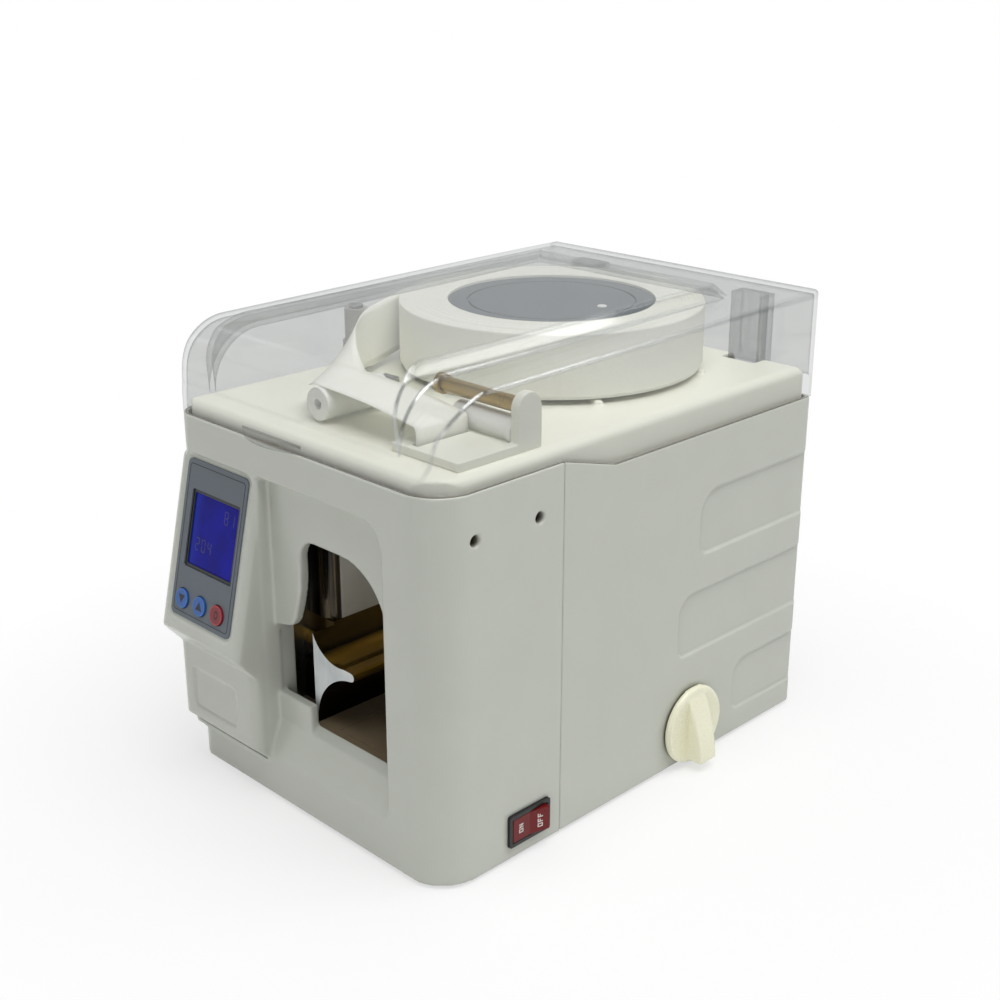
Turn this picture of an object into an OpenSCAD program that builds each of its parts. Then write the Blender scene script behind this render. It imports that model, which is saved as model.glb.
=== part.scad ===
// Banknote binding machine: desktop binder that wraps a paper tape round a bundle of notes.
// Units are millimetres. X runs to the machine's right, Y to its back, Z up.

/* [Casing] */
// Width of the casing, side to side
body_w = 232; // [226:1:240]
// Depth of the casing, front to back
body_d = 330; // [324:1:340]
// Height of the front casing above its lower edge
front_h = 230.5; // [228:0.5:236]
// How much lower the rear casing's rim is than the front one's
rear_drop = 12; // [10:0.5:13]
// Wall thickness of the casing
wall = 3; // [2.8:0.1:3.4]
// Plan radius of the front right corner
corner_r = 26; // [20:1:28]
// Plan radius of the front left corner
corner_left_r = 16; // [12:1:18]
// Distance from the front face to the seam between the two casings
seam_at = 95; // [88:1:98]
// Depth of the grip panels in the side walls
grip_deep = 2; // [1.5:0.1:2.2]
// Height that the rubber feet stand out below the casing
foot_out = 2; // [1.5:0.1:2.5]

/* [Control column] */
// Backward lean of the control panel, in degrees
panel_tilt = 13; // [11:0.5:14]
// Width of the control column
column_w = 80; // [78:1:83]
// Width of the printed overlay
overlay_w = 60; // [58:0.5:61]
// Height of the printed overlay
overlay_h = 97; // [95:0.5:98]
// Width and height of the display
lcd_w = 48; // [44:0.5:49]
// Diameter of the round keys
key_d = 12; // [10:0.5:13]
// Travel of the keys
key_travel = 0.8; // [0.5:0.1:0.9]

/* [Note opening] */
// Depth of the shallow bay round the opening
bay_deep = 8; // [7:0.5:9]
// Radius of the arch at the top right of the opening
arch_r = 37; // [34:0.5:38]
// Height of the opening's sill
sill_z = 60; // [58:0.5:62]

/* [Lid and tape] */
// Wall thickness of the clear lid
lid_t = 2.4; // [2:0.1:2.6]
// Rise of the lid's shoulders above the front casing
lid_rise = 57; // [57:0.5:60]
// Radius of a full paper roll
roll_r = 97; // [85:1:98]
// Width of the paper tape
tape_w = 38; // [34:0.5:39]
// Radius of the reel hub
hub_r = 66; // [60:0.5:68]

/* [Drive] */
// Diameter of the hand knob
knob_d = 52; // [46:1:53]
// Distance that the hand knob stands out from the casing
knob_out = 17.5; // [16:0.5:19]
// Module of the gears
gear_m = 1.25; // [1.2:0.05:1.25]
// Teeth of the motor pinion
pinion_n = 13; // [12:1:13]
// Teeth of the drive gear
gear_n = 26; // [24:1:26]
// Travel of the press table
press_travel = 12; // [8:0.5:14]

/* [Hidden] */
$fn = 64;
eps = 0.01;
run = 0.05;
hx = body_w / 2;
fy = -body_d / 2;
by = body_d / 2;
rear_h = front_h - rear_drop;
seam_y = fy + seam_at;
jog_y = seam_y + 43;
deck_z = front_h + 7.5;
deck_t = 3;
deck_r = 6;
knob_y = by - 115;
knob_z = 26;
wing_r = 110.3;
col_x = -hx + column_w;
col_top = front_h - 26.5;
col_low = col_top - 104;
col_step = col_low - 14;
col_y = fy - 11;
tan_t = tan(panel_tilt);
bay_y = fy + bay_deep;
bay_x0 = col_x + 0.4;
bay_x1 = hx - 44;
open_x1 = bay_x1 - 7;
bay_top = front_h - 24.5;
arch_top = front_h - 55.5;
inlet_out = 2;
place_x = -knob_out / 2;
place_y = (col_top - col_low) * tan_t / 2 - inlet_out / 2;
ov_x = (-hx + col_x) / 2 + 3.5;
ov_top = 0;
lcd_x = ov_x + 1.5;
lcd_z = -17.5 - lcd_w / 2;
key_x = [ov_x - 19, ov_x - 1, ov_x + 16.5];
key_z = -85.5;
key_r = key_d / 2;
reel_x = -10;
reel_y = by - 113;
reel_z = deck_z + 5;
lid_z = front_h + 0.4;
lid_rear_z = rear_h + 0.4;
lid_top = front_h + lid_rise;
hinge_y = by - 3.5;
hinge_z = rear_h + 7.5;
hinge_x = 70.5;
arm_w = 25;
plate_l = -hx + 70;
plate_r = hx - 44;
plate_t = 2.5;
shaft_r = 4;
tray_z = 5;
cham_y = fy + 92;
floor_z = 53;
pitch_d = gear_m * (gear_n + pinion_n) / 2 + 0.2;
pin_y = knob_y + pitch_d * cos(60);
pin_z = knob_z + pitch_d * sin(60);
gear_x = plate_r - 30;
disc_x = plate_l + 12;
motor_x = plate_l + 22;
gear_w = 8;
sw_y = fy + 68;
sw_z = 18.2;
tube_x = -14;
tube_z = deck_z + 11;
tube_r = 9.5;
tube_y0 = fy + 30;
tape_y0 = tube_y0 + 3;
tape_t = 0.6;
tape_gap = 0.7;
post_x = -hx + 24;
post_y = reel_y - 93;
post_r = 7.5;
turn_x = post_x + 20;
turn_y = post_y - 4;
roller_y = fy + 80;
roller_z = deck_z + 9.5;
roller_r = 7.5;
rod_z = deck_z + 23.5;
ear_x = hx - 18;
screw_y = [fy + 28, fy + 76.4];
screw_z = front_h - 27;
well_deep = 6;
flange_y = bay_y + 6.5;
open_x0 = -8.5;
block_x0 = -13;
guide_x = -14;
guide_y = fy + 34;
guide_r = 9;
tie_y = [fy + 108, by - 60];

// Moves a sub-part from the working frame to the frame whose origin is below the middle of the machine
module place() {
    translate([place_x, place_y, foot_out]) children();
}

// Rectangle with a radius of its own at each corner, from the front left one on, counter-clockwise
module round_rect(x0, y0, x1, y1, r) {
    polygon([[x0 + r[0], y0], [x1 - r[1], y0], [x1, y0 + r[1]], [x1, y1 - r[2]],
        [x1 - r[2], y1], [x0 + r[3], y1], [x0, y1 - r[3]], [x0, y0 + r[0]]]);
    translate([x0 + r[0], y0 + r[0]]) circle(r[0]);
    translate([x1 - r[1], y0 + r[1]]) circle(r[1]);
    translate([x1 - r[2], y1 - r[2]]) circle(r[2]);
    translate([x0 + r[3], y1 - r[3]]) circle(r[3]);
}

// Plan of the casing, drawn in by a margin
module body_plan(m) {
    round_rect(-hx + m, fy + m, hx - m, by - m,
        [corner_left_r - m, corner_r - m, max(6 - m, 1), max(6 - m, 1)]);
}

// Stands a drawing of Y and Z up along X
module along_x(x0, x1) {
    translate([x0, 0, 0]) rotate([90, 0, 90]) linear_extrude(x1 - x0) children();
}

// Stands a drawing of X and Z up along Y
module along_y(y0, y1) {
    translate([0, y1, 0]) rotate([90, 0, 0]) linear_extrude(y1 - y0) children();
}

// Cylinder along X
module rod_x(x0, x1, r, y, z) {
    translate([x0, y, z]) rotate([0, 90, 0]) cylinder(r = r, h = x1 - x0);
}

// Cylinder along Y
module rod_y(y0, y1, r, x, z) {
    translate([x, y0, z]) rotate([-90, 0, 0]) cylinder(r = r, h = y1 - y0);
}

// Frame of the tilted panel: X across, Y into the machine, Z up along the panel from its top edge
module panel_frame() {
    translate([0, fy, col_top]) rotate([-panel_tilt, 0, 0]) children();
}

// Plate on the tilted panel, from one depth to another
module panel_slab(x, z, w, h, r, y0, y1) {
    panel_frame() along_y(y0, y1)
        round_rect(x - w / 2, z - h / 2, x + w / 2, z + h / 2, [r, r, r, r]);
}

// Control column in front of the front face, drawn in by a margin
module column(m) {
    intersection() {
        translate([0, 0, -m * tan_t]) panel_frame() translate([0, m, -160]) linear_extrude(220)
            round_rect(-hx + m, 0, col_x - m, 70, [12 - m, 8 - m, 1, 1]);
        along_x(-hx - 1, col_x + 1)
            polygon([[fy + 24, col_top - m * 0.6], [fy - 50, col_top - m * 0.6],
                [fy - 50, col_low + m + 26 * 1.13], [fy + 24, col_low + m - 48 * 1.13]]);
    }
    intersection() {
        translate([0, 0, 10]) linear_extrude(col_step + 14)
            round_rect(-hx + m, col_y + m, col_x + 0.25 - m, fy + 24, [11 - m, 7 - m, 1, 1]);
        along_x(-hx - 1, col_x + 1)
            polygon([[fy + 24, col_step + 12 - m], [col_y - 2, col_step + 12 - m], [col_y - 2, 36 + m],
                [fy - 1.5, 26 + m], [fy, 20 + m], [fy + 24, 20 + m]]);
    }
}

// Drawing of the note opening in X and Z
module opening() {
    intersection() {
        translate([open_x1 - arch_r, arch_top - arch_r]) circle(arch_r);
        translate([open_x1 - arch_r, 0]) square([arch_r, 300]);
    }
    round_rect(open_x0, arch_top - 55, open_x1 - arch_r + 1, arch_top, [1, 1, 1, 12]);
    translate([open_x0 + 3, sill_z]) square([open_x1 - open_x0 - 3, arch_top - arch_r - sill_z]);
    polygon([[bay_x0, sill_z + 8], [open_x0 + 4, sill_z + 8], [open_x0 + 4, arch_top - 20],
        [open_x0, arch_top - 20], [open_x0 - 1, arch_top - 32], [open_x0 - 4, arch_top - 43],
        [open_x0 - 7.5, arch_top - 53], [open_x0 - 11, arch_top - 57.7], [open_x0 - 14, arch_top - 59],
        [bay_x0, arch_top - 62]]);
}

// Hollow of the shallow bay
module bay(m) {
    intersection() {
        along_x(bay_x0 - m, bay_x1 + m)
            polygon([[fy - 5, 24 - m], [fy, 28 - m], [bay_y + m, sill_z - 10 - m],
                [bay_y + m, bay_top - 1 + m], [fy, bay_top + 2 + m], [fy - 5, bay_top + 3 + m]]);
        along_y(fy - 6, fy + 30)
            round_rect(bay_x0 - m, 20, bay_x1 + m, bay_top + 2 + m, [1, 1, 16, 1]);
    }
}

// Recessed grip panel, open to the rear edge
module grip(y0, z0, z1, r) {
    along_x(hx - grip_deep, hx + 5)
        round_rect(y0, z0, by + 20, z1, [r / 2, 1, 1, r]);
}

// Spur gear with straight-sided teeth
module spur(n, w, turn) {
    pr = gear_m * n / 2;
    half = 360 / n / 4;
    linear_extrude(w) rotate(turn) union() {
        circle(pr - 1.2 * gear_m);
        for (i = [0 : n - 1])
            rotate(i * 360 / n)
                polygon([[(pr - 1.4 * gear_m) * cos(half * 1.25), -(pr - 1.4 * gear_m) * sin(half * 1.25)],
                    [pr * cos(half * 0.86), -pr * sin(half * 0.86)],
                    [(pr + 0.9 * gear_m) * cos(half * 0.42), -(pr + 0.9 * gear_m) * sin(half * 0.42)],
                    [(pr + 0.9 * gear_m) * cos(half * 0.42), (pr + 0.9 * gear_m) * sin(half * 0.42)],
                    [pr * cos(half * 0.86), pr * sin(half * 0.86)],
                    [(pr - 1.4 * gear_m) * cos(half * 1.25), (pr - 1.4 * gear_m) * sin(half * 1.25)]]);
    }
}

// Floor of the machine with a lip that the casings are set on
module base_tray() {
    color("gainsboro") place() difference() {
        union() {
            translate([0, 0, 1.5]) linear_extrude(tray_z - 1.5) body_plan(wall);
            translate([0, 0, tray_z - eps]) linear_extrude(9) difference() {
                body_plan(wall);
                body_plan(wall + 2);
            }
        }
        translate([hx - 30, sw_y - 22, tray_z]) cube([40, 44, 30]);
    }
}

// Feet pressed on the tray's underside
module rubber_feet() {
    color("dimgray") place()
        for (x = [-hx + 26, hx - 34], y = [fy + 34, by - 28])
            translate([x, y, -foot_out]) union() {
                cylinder(r = 8, h = foot_out + 1.5);
                cylinder(r = 9.5, h = foot_out);
            }
}

// Front casing: walls, control column, bay and note opening
module front_shell() {
    color("white") place() difference() {
        union() {
            difference() {
                union() {
                    intersection() {
                        linear_extrude(front_h) body_plan(0);
                        translate([-hx - 1, fy - 1, -1]) cube([body_w + 2, seam_at + 1, front_h + 5]);
                    }
                    column(0);
                }
                translate([0, 0, -1]) linear_extrude(front_h + 2) body_plan(wall);
                column(wall);
            }
            intersection() {
                bay(wall);
                translate([0, 0, -1]) linear_extrude(front_h) body_plan(0.5);
            }
            translate([col_x - wall + 0.6, fy + 1, sill_z - 7])
                cube([wall - 0.8, 21, arch_top - sill_z - 50]);
            translate([bay_x0 - 1, bay_y + 0.5, arch_top - 66])
                cube([16 - bay_x0, flange_y - bay_y - 0.5, 72]);
            translate([bay_x0 - 1, bay_y + 0.5, sill_z - 12])
                cube([open_x1 + 3 - bay_x0, flange_y - bay_y - 0.5, 20]);
            for (y = screw_y, s = [0, 1]) mirror([s, 0, 0])
                rod_x(hx - wall - well_deep - 2, hx - wall + 1, 5, y, screw_z);
            for (s = [-1, 1])
                panel_frame() for (z = [-8, -94])
                    rod_y(2, 8, 3, ov_x + s * 27, z);
        }
        bay(0);
        along_y(fy - 1, flange_y + 1) opening();
        along_x(open_x0 + 3, open_x1)
            polygon([[bay_y - 1, sill_z - 11], [flange_y + 0.6, sill_z], [flange_y + 0.6, sill_z + 4],
                [bay_y - 1, sill_z + 4]]);
        panel_slab(ov_x, -overlay_h / 2, overlay_w + 6, overlay_h + 6, 7, -6, 1.4);
        panel_slab(lcd_x, lcd_z, lcd_w + 2, lcd_w + 2, 2, -6, 6);
        panel_frame() for (x = key_x)
            rod_y(-1, 6, key_r + run, x, key_z);
        along_y(col_y - 2, col_y + 1)
            round_rect(-hx + 17, 42, col_x - 18, 69.5, [3, 3, 3, 3]);
        for (y = screw_y, s = [0, 1]) mirror([s, 0, 0]) {
            rod_x(hx - wall - well_deep, hx + 1, 3.4, y, screw_z);
            rod_x(hx - wall - well_deep - 4, hx - wall, 1.5 + run, y, screw_z);
            translate([hx - 0.8, y, screw_z]) rotate([0, 90, 0]) cylinder(r1 = 3.4, r2 = 4.4, h = 1);
        }
        translate([hx - wall - 1, sw_y - 15.2, sw_z - 9.2]) cube([wall + 2, 30.4, 18.4]);
    }
}

// Rear casing: side and back walls with grip panels, vents and the inlet's cut-out
module rear_shell() {
    color("white") place() difference() {
        intersection() {
            linear_extrude(front_h) body_plan(0);
            along_x(-hx - 1, hx + 1)
                polygon([[seam_y, 0], [by + 1, 0], [by + 1, rear_h], [jog_y, rear_h], [seam_y, front_h]]);
        }
        translate([0, 0, -1]) linear_extrude(front_h + 2) body_plan(wall);
        for (s = [0, 1]) mirror([s, 0, 0]) {
            grip(by - 112, 139, 181.5, 18);
            grip(by - 129, 74, 116, 14);
            grip(by - 69, 16, 53.5, 14);
        }
        rod_x(hx - wall - 1, hx + 1, 6, knob_y, knob_z);
        along_y(by - wall - 1, by + 1) {
            translate([-84, 30.2]) square([28, 19.6]);
            for (i = [0 : 7])
                round_rect(10, 90 + i * 9, 80, 93.4 + i * 9, [1.6, 1.6, 1.6, 1.6]);
        }
        for (x = [-90, 90])
            rod_y(by - wall - 1, by + 1, 3, x, 200);
    }
}

// Raised deck under the lid with lugs for the casing screws, the reel's ribs and the hinge ears
module top_deck() {
    color("ivory") place() difference() {
        union() {
            intersection() {
                union() {
                    translate([0, 0, deck_z - deck_t]) linear_extrude(deck_t) body_plan(wall + 2);
                    translate([0, 0, rear_h - 12])
                        linear_extrude(deck_z - rear_h + 12 - deck_t + eps) difference() {
                            body_plan(wall + 2);
                            body_plan(wall + 5);
                        }
                }
                along_x(-hx, hx)
                    round_rect(fy + wall + 2, rear_h - 20, by - wall - 2, deck_z, [1, 1, deck_r, deck_r]);
                along_y(fy, by)
                    round_rect(-hx + wall + 2, rear_h - 20, hx - wall - 2, deck_z, [1, 1, deck_r, deck_r]);
            }
            translate([0, 0, rear_h - 12]) linear_extrude(8) difference() {
                body_plan(wall);
                body_plan(wall + 5);
            }
            intersection() {
                for (s = [-1, 1], y = screw_y)
                    translate([s * (hx - wall - well_deep - 7) - 5, y - 6, screw_z - 7])
                        cube([10, 12, deck_z - deck_t + eps - screw_z + 7]);
                translate([0, 0, screw_z - 8]) linear_extrude(60) body_plan(wall);
            }
            for (x = [-90, 90])
                translate([x - 6, by - wall - 11, 193]) cube([12, 11, rear_h - 195]);
            translate([reel_x, reel_y, deck_z - eps]) cylinder(r = 15, h = 3.3);
            for (i = [0 : 5])
                translate([reel_x, reel_y, deck_z - eps]) rotate(i * 60 - 30)
                    translate([40, -2.5, 0]) cube([59, 5, 2.6]);
            for (s = [-1, 1], e = [-1, 1])
                along_x(s * hinge_x + e * (arm_w / 2 + 2.6) - 2, s * hinge_x + e * (arm_w / 2 + 2.6) + 2) {
                    translate([hinge_y, hinge_z]) circle(5);
                    translate([by - 19, rear_h + 1]) square([15.5, 11.5]);
                }
        }
        for (s = [-1, 1])
            translate([s * hinge_x - arm_w / 2 - 0.6, by - 22, rear_h - 2]) cube([arm_w + 1.2, 30, 50]);
        for (s = [-1, 1])
            rod_x(s * hinge_x - 30, s * hinge_x + 30, 2.5, hinge_y, hinge_z);
        for (y = screw_y, s = [0, 1]) mirror([s, 0, 0]) {
            rod_x(hx - 30, hx + 1, 1.5 + run, y, screw_z);
            rod_x(hx - wall - well_deep - 2, hx + 1, 5.4, y, screw_z);
        }
        for (x = [-90, 90])
            rod_y(by - 30, by + 1, 1.5 + run, x, 200);
        translate([bay_x0 - wall - 1, fy, rear_h - 14])
            cube([bay_x1 - bay_x0 + 2 * wall + 2, bay_deep + wall + 1, bay_top + wall + 17 - rear_h]);
        translate([63, tape_y0 - 1, deck_z - 8]) cube([5, tape_w + 2, 20]);
        translate([reel_x, reel_y, deck_z - 10]) cylinder(r = 6, h = 20);
        translate([post_x, post_y, deck_z - 10]) cylinder(r = 3, h = 20);
    }
}

// Screw with a pan head along +X, its head at the right
module screw_x(len, r) {
    rod_x(-len, eps, 1.5, 0, 0);
    difference() {
        rod_x(0, 2, r, 0, 0);
        translate([1.2, -0.4, -r + 0.6]) cube([2, 0.8, 2 * r - 1.2]);
        translate([1.2, -r + 0.6, -0.4]) cube([2, 2 * r - 1.2, 0.8]);
    }
}

// Screws that hold the two casings to the deck's lugs
module casing_screws() {
    color("silver") place() {
        for (y = screw_y, s = [0, 1]) mirror([s, 0, 0])
            translate([hx - wall - well_deep, y, screw_z]) screw_x(10, 3);
        for (x = [-90, 90])
            translate([x, by - wall, 200]) rotate(90) screw_x(9, 2.8);
    }
}

// Printed overlay with a window and three key holes
module panel_overlay() {
    color("slategray") place() difference() {
        panel_slab(ov_x, -overlay_h / 2, overlay_w, overlay_h, 4, 0.5, 1.4);
        panel_slab(lcd_x, lcd_z, lcd_w, lcd_w, 1.5, -1, 3);
        panel_frame() for (x = key_x)
            rod_y(-1, 3, key_r + 0.4, x, key_z);
    }
}

// Dark frame behind the overlay's window
module lcd_frame() {
    color("black") place() difference() {
        panel_slab(lcd_x, lcd_z, lcd_w + 2, lcd_w + 2, 2, 1.4, 7);
        panel_slab(lcd_x, lcd_z, lcd_w - 4, lcd_w - 4, 1, -1, 8);
    }
}

// Blue display glass
module lcd_glass() {
    color("blue") place() panel_slab(lcd_x, lcd_z, lcd_w - 4, lcd_w - 4, 1, 2.2, 5);
}

// Board behind the panel with a switch body behind each key
module control_board() {
    color("darkgreen") place() {
        panel_slab(ov_x, -51, 62, 98, 1.5, 8, 9.6);
        panel_frame() for (x = key_x)
            translate([x - 3, 6 + key_travel + 0.1, key_z - 3]) cube([6, 3, 6]);
        panel_frame() translate([lcd_x - lcd_w / 2 + 6, 6.9, lcd_z - 8]) cube([lcd_w - 12, 1.2, 16]);
    }
}

// Round key with a raised sign and a stop flange
module key(i) {
    panel_frame() {
        rod_y(-0.7, 6, key_r, key_x[i], key_z);
        rod_y(wall + 0.4, wall + 1.7, key_r + 1.5, key_x[i], key_z);
    }
}

// Key that lowers the number
module key_down() {
    color("dodgerblue") place() key(0);
}

// Key that raises the number
module key_up() {
    color("dodgerblue") place() key(1);
}

// Red key that clears
module key_clear() {
    color("crimson") place() key(2);
}

// Black housing of the power rocker with its bezel
module switch_housing() {
    color("black") place() difference() {
        union() {
            translate([hx - 16, sw_y - 15.2, sw_z - 9.2]) cube([16 + eps, 30.4, 18.4]);
            along_x(hx, hx + 2)
                round_rect(sw_y - 16.6, sw_z - 10.2, sw_y + 16.6, sw_z + 10.2, [1.5, 1.5, 1.5, 1.5]);
            for (y = [-8, 0, 8])
                translate([hx - 24, sw_y + y - 2.4, sw_z - 0.4]) cube([9, 4.8, 0.8]);
        }
        translate([hx - 12, sw_y - 14.4, sw_z - 7.8]) cube([20, 28.8, 15.6]);
        translate([hx - 1, sw_y, sw_z - 9]) cylinder(r = 1.5 + run, h = 18);
    }
}

// Red rocker on two pivot stubs, rest pose with its front end pressed in
module rocker() {
    color("red") place() translate([hx - 1, sw_y, sw_z]) rotate(-7) {
        translate([0, 0, -7.4]) linear_extrude(14.8)
            polygon([[4.6, -13.3], [2.9, 0], [4.6, 13.3], [-1, 12.9], [-6.5, 3], [-6.5, -3], [-1, -12.9]]);
        translate([0, 0, -8.9]) cylinder(r = 1.5, h = 17.8);
    }
}

// Mains inlet in the back wall with three blades
module power_inlet() {
    color("black") place() {
        difference() {
            union() {
                along_y(by, by + inlet_out)
                    round_rect(-86, 28.2, -54, 51.8, [2, 2, 2, 2]);
                translate([-84, by - 20, 30.2]) cube([28, 20 + eps, 19.6]);
            }
            along_y(by - 17, by + 5)
                round_rect(-81.5, 32.5, -58.5, 47.5, [1, 1, 3, 3]);
        }
        for (i = [-1, 0, 1])
            translate([-70 + i * 7 - 1, by - 18, 37 + (i == 0 ? 4 : 0)]) cube([2, 14, 4]);
    }
}

// Steel side plate of the chassis with a folded foot
module side_plate(x, foot_dir) {
    difference() {
        union() {
            translate([x, fy + 20, tray_z]) cube([plate_t, body_d - 70, deck_z - deck_t - tray_z]);
            translate([foot_dir > 0 ? x : x - 12 + plate_t, fy + 20, tray_z])
                cube([12, body_d - 70, plate_t]);
        }
        rod_x(x - 1, x + plate_t + 1, 7, knob_y, knob_z);
        for (y = tie_y, z = [70, 205])
            rod_x(x - 1, x + plate_t + 1, 3, y, z);
        translate([x - 20, by - 95, 70]) cube([60, 30, 90]);
    }
}

// Left side plate
module left_plate() {
    color("silver") place() side_plate(plate_l, -1);
}

// Right side plate with the seal head's window
module right_plate() {
    color("silver") place() difference() {
        side_plate(plate_r, 1);
        translate([plate_r - 1, fy + 27, 62]) cube([plate_t + 2, 26, 16]);
    }
}

// Rods that hold the side plates apart
module tie_rods() {
    color("silver") place()
        for (y = tie_y, z = [70, 205]) {
            rod_x(plate_l - 3, plate_r + plate_t + 3, 3, y, z);
            rod_x(plate_l - 5, plate_l, 5, y, z);
            rod_x(plate_r + plate_t, plate_r + plate_t + 5, 5, y, z);
            rod_x(plate_l + plate_t, plate_r, 4.2, y, z);
        }
}

// Screws through the plates' feet into the tray
module chassis_screws() {
    color("silver") place()
        for (x = [plate_l - 5, plate_r + 7], y = [fy + 60, by - 75])
            translate([x, y, tray_z + plate_t]) cylinder(r = 2.8, h = 2);
}

// Floor of the note chamber with a window for the press table
module note_floor() {
    color("dimgray") place() difference() {
        translate([plate_l + plate_t, flange_y, floor_z - 2])
            cube([plate_r - plate_l - plate_t, cham_y - flange_y, 2]);
        translate([5.7, fy + 20.7, floor_z - 5]) cube([50.6, 30.6, 10]);
    }
}

// Back plate of the note chamber
module note_back() {
    color("gray") place()
        translate([plate_l + plate_t, cham_y, floor_z - 2]) cube([plate_r - plate_l - plate_t, 2, 152]);
}

// Dark polished sheet on the left of the chamber, bent round an upright edge
module left_guide() {
    color("black") place() translate([0, 0, floor_z + 60]) linear_extrude(80) {
        translate([plate_l + plate_t, guide_y]) square([guide_x - guide_r - plate_l - plate_t + eps, 2]);
        translate([guide_x - 2, guide_y + guide_r - eps]) square([2, cham_y - guide_y - guide_r + eps]);
        intersection() {
            translate([guide_x - guide_r, guide_y + guide_r]) difference() {
                circle(guide_r);
                circle(guide_r - 2);
            }
            translate([guide_x - guide_r, guide_y - 1]) square([guide_r + 1, guide_r + 1]);
        }
    }
}

// Polished block with two hollow flanks that guides the tape round the bundle, with a foot to the left plate
module tape_guide_block() {
    color("lightsteelblue") place() difference() {
        union() {
            along_y(fy + 18, cham_y) {
                translate([block_x0, floor_z]) square([21.3 - block_x0, 60]);
                translate([21.3, 94.2]) circle(2.7);
            }
            along_y(guide_y, cham_y)
                translate([plate_l + plate_t, floor_z]) square([block_x0 + 1 - plate_l - plate_t, 60]);
        }
        along_y(fy, cham_y + 1) {
            translate([9.5, 121]) circle(24.5);
            translate([9.5, 97]) square([30, 30]);
            translate([25.5, 55]) circle(36.5);
            translate([plate_l - 1, 80]) square([10, 4]);
        }
    }
}

// Press table in the chamber floor with its stem
module press_table() {
    color("gray") place() {
        translate([6, fy + 21, floor_z - 3]) cube([50, 30, 3]);
        translate([31, fy + 36, tray_z + 6]) cylinder(r = 5, h = floor_z - 3 - tray_z - 6 + eps);
    }
}

// Guide bush of the press table on the tray
module press_bush() {
    color("goldenrod") place() difference() {
        translate([31, fy + 36, tray_z]) union() {
            cylinder(r = 16, h = 4);
            cylinder(r = 9, h = 26);
        }
        translate([31, fy + 36, tray_z + 3]) cylinder(r = 5 + run, h = 40);
    }
}

// Guide of the seal head on the right side plate
module seal_guide() {
    color("silver") place() difference() {
        translate([plate_r + plate_t, fy + 24, 58]) cube([22, 32, 24]);
        translate([plate_r, fy + 28, 63]) cube([40, 24, 14]);
    }
}

// Heater bar that seals the tape
module seal_head() {
    color("peru") place() {
        translate([plate_r - 1, fy + 28.05, 63.05]) cube([18, 23.9, 13.9]);
        rod_x(plate_r + 16, plate_r + 32, 4, fy + 40, 70);
    }
}

// Blade that cuts the tape beside the heater bar
module cutter_blade() {
    color("silver") place() translate([plate_r - 3, fy + 30, 76.95 - 4]) cube([2, 20, 4]);
}

// Hand knob: round skirt with a wing across it that stands out most at its lower end
module hand_knob() {
    color("ivory") place() translate([hx + 1, knob_y, knob_z]) difference() {
        union() {
            rotate([0, 90, 0]) rotate_extrude() polygon([[0, 0], [knob_d / 2 - 1.5, 0], [knob_d / 2, 1.2],
                [knob_d / 2, 3], [knob_d / 2 - 1.2, 4.6], [knob_d / 2 - 3.5, 5], [13, 3.9], [0, 3.6]]);
            intersection() {
                rod_y(-20, 20, wing_r, knob_out - 0.73 - wing_r, -29.2);
                along_y(-20, 20) translate([0.5, -21.5]) square([40, knob_d / 2 + 21]);
                translate([0, 0, -40]) linear_extrude(80)
                    polygon([[0.5, -7.4], [knob_out, -6.4], [knob_out, 6.4], [0.5, 7.4]]);
            }
        }
        rod_x(-5, 9, shaft_r, 0, 0);
    }
}

// Shaft that the hand knob turns
module main_shaft() {
    color("silver") place() rod_x(plate_l - 8, hx + 10, shaft_r, knob_y, knob_z);
}

// Gear on the main shaft
module drive_gear() {
    color("whitesmoke") place() difference() {
        union() {
            translate([gear_x, knob_y, knob_z]) rotate([90, 0, 90]) spur(gear_n, gear_w, 60);
            rod_x(gear_x + gear_w - eps, gear_x + gear_w + 6, 8, knob_y, knob_z);
        }
        rod_x(gear_x - 1, gear_x + gear_w + 8, shaft_r, knob_y, knob_z);
    }
}

// Slotted disc that the position sensor reads
module timing_disc() {
    color("black") place() difference() {
        union() {
            rod_x(disc_x, disc_x + 2, 19, knob_y, knob_z);
            rod_x(disc_x + 2 - eps, disc_x + 7, 8, knob_y, knob_z);
        }
        rod_x(disc_x - 6, disc_x + 14, shaft_r, knob_y, knob_z);
        for (i = [0 : 11])
            translate([disc_x + 1, knob_y, knob_z]) rotate([i * 30, 0, 0])
                translate([-5, -1.2, 13]) cube([10, 2.4, 10]);
    }
}

// Bushes of the main shaft in the side plates
module shaft_bushes() {
    color("goldenrod") place() for (x = [plate_l, plate_r]) difference() {
        union() {
            rod_x(x - 2, x + plate_t + 2, 7, knob_y, knob_z);
            rod_x(x + plate_t, x + plate_t + 2, 9, knob_y, knob_z);
        }
        rod_x(x - 5, x + plate_t + 5, shaft_r + run, knob_y, knob_z);
    }
}

// Motor with its end bell, on the bracket
module motor() {
    color("dimgray") place() difference() {
        union() {
            rod_x(motor_x, gear_x - 6, 17, pin_y, pin_z);
            rod_x(motor_x - 4, motor_x + eps, 12, pin_y, pin_z);
        }
        rod_x(gear_x - 16, gear_x, 3 + run, pin_y, pin_z);
    }
}

// Angle that holds the motor on the tray
module motor_bracket() {
    color("silver") place() difference() {
        union() {
            translate([gear_x - 6, knob_y - 16, tray_z]) cube([3, 56, 62]);
            translate([gear_x - 30, knob_y + 12, tray_z]) cube([25, 28, 3]);
        }
        rod_x(gear_x - 20, gear_x, 3.6, pin_y, pin_z);
        rod_x(gear_x - 20, gear_x, 6, knob_y, knob_z);
    }
}

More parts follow.
